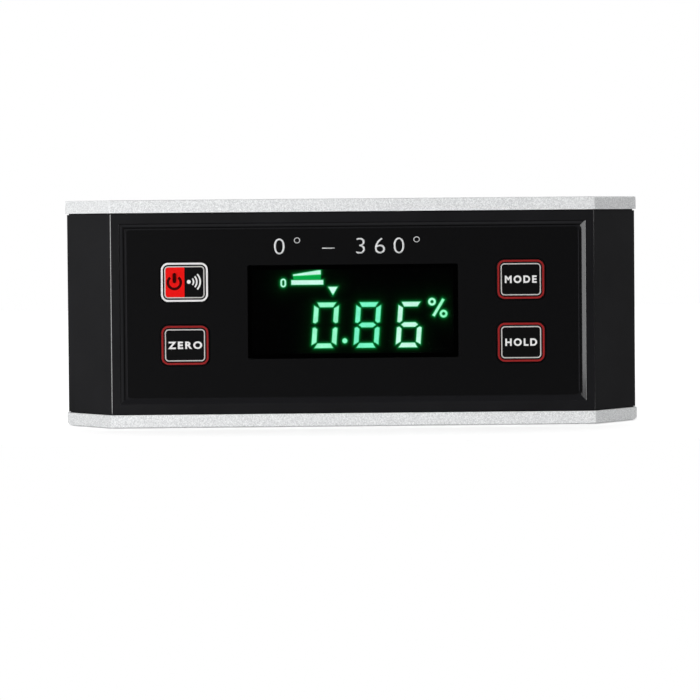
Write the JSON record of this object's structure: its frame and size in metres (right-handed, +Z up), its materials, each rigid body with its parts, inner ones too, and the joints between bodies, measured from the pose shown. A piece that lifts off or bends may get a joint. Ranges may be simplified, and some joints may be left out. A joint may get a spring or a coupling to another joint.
{
  "type": "digital level inclinometer",
  "caption": "Box-shaped electronic level that shows its tilt as lit figures, with flat metal rails, a magnetic grooved base and sprung keys.",
  "frame": {"origin": "middle of the base, on the plane of the lower rail that the level stands on", "axes": "+X along the length to the right of a viewer facing the display, +Y from the display to the back, +Z up"},
  "size_m": [0.1528, 0.03, 0.06],
  "materials": {
    "satin_aluminium": "bead-blasted, clear anodised",
    "black_case": "fine moulded texture",
    "overlay_film": "matte printed film",
    "smoked_window": "smoked acrylic, polished",
    "display_black": "matte black face",
    "gasket_foam": "soft foam",
    "lit_green": "lit green",
    "key_black": "satin moulded cap",
    "print_white": "screen print",
    "print_red": "screen print",
    "print_grey": "screen print",
    "print_field_red": "screen print",
    "switch_black": "moulded",
    "button_grey": "moulded",
    "board_green": "solder mask",
    "component_black": "moulded",
    "can_steel": "drawn can",
    "cell_jacket": "plain printed jacket",
    "contact_nickel": "nickel plated",
    "lead_red": "insulated wire",
    "lead_black": "insulated wire",
    "magnet_nickel": "nickel plated",
    "screw_steel": "zinc plated",
    "screw_black": "black oxide"
  },
  "bodies": {
    "housing": {"board_screws": "screw_steel", "boost_coil": "component_black", "bottom_rail": "satin_aluminium", "bottom_rail_screws": "screw_steel", "bridge_contact": "contact_nickel", "buzzer": "component_black", "controller_chip": "component_black", "cover_screws": "screw_black", "crystal_can": "can_steel", "display_gasket": "gasket_foam", "display_module": "display_black", "display_window": "smoked_window", "filter_capacitors": "can_steel", "front_housing": "black_case", "hold_switch": "switch_black", "keypad_panel": "overlay_film", "left_magnet": "magnet_nickel", "lit_segments": "lit_green", "lower_cell": "cell_jacket", "lower_cell_spring": "contact_nickel", "main_board": "board_green", "mode_switch": "switch_black", "negative_contact": "contact_nickel", "negative_lead": "lead_black", "positive_contact": "contact_nickel", "positive_lead": "lead_red", "power_switch": "switch_black", "rear_cover": "black_case", "right_magnet": "magnet_nickel", "tilt_sensor": "component_black", "top_rail": "satin_aluminium", "top_rail_screws": "screw_steel", "upper_cell": "cell_jacket", "upper_cell_spring": "contact_nickel", "zero_switch": "switch_black"},
    "power_key_body": {"power_key": "key_black", "power_key_field": "print_field_red", "power_key_frame": "print_grey", "power_key_ring": "print_white", "power_switch_button": "button_grey"},
    "zero_key_body": {"zero_key": "key_black", "zero_key_frame": "print_grey", "zero_key_ring": "print_red", "zero_switch_button": "button_grey"},
    "mode_key_body": {"mode_key": "key_black", "mode_key_frame": "print_grey", "mode_key_ring": "print_red", "mode_switch_button": "button_grey"},
    "hold_key_body": {"hold_key": "key_black", "hold_key_frame": "print_grey", "hold_key_ring": "print_red", "hold_switch_button": "button_grey"},
    "battery_door_body": {"battery_door": "black_case"}
  },
  "joints": [
    {"name": "power_key_press", "type": "slide", "parent": "housing", "child": "power_key_body", "axis": [0, 1, 0], "range_m": [0, 0.0004], "stiffness_N_per_m": 2500},
    {"name": "zero_key_press", "type": "slide", "parent": "housing", "child": "zero_key_body", "axis": [0, 1, 0], "range_m": [0, 0.0004], "stiffness_N_per_m": 2500},
    {"name": "mode_key_press", "type": "slide", "parent": "housing", "child": "mode_key_body", "axis": [0, 1, 0], "range_m": [0, 0.0004], "stiffness_N_per_m": 2500},
    {"name": "hold_key_press", "type": "slide", "parent": "housing", "child": "hold_key_body", "axis": [0, 1, 0], "range_m": [0, 0.0004], "stiffness_N_per_m": 2500},
    {"name": "battery_door_hinge", "type": "hinge", "parent": "housing", "child": "battery_door_body", "pos_m": [-0.026, 0.0146, 0.03], "axis": [0, 0, 1], "range_deg": [0, 60]}
  ]
}
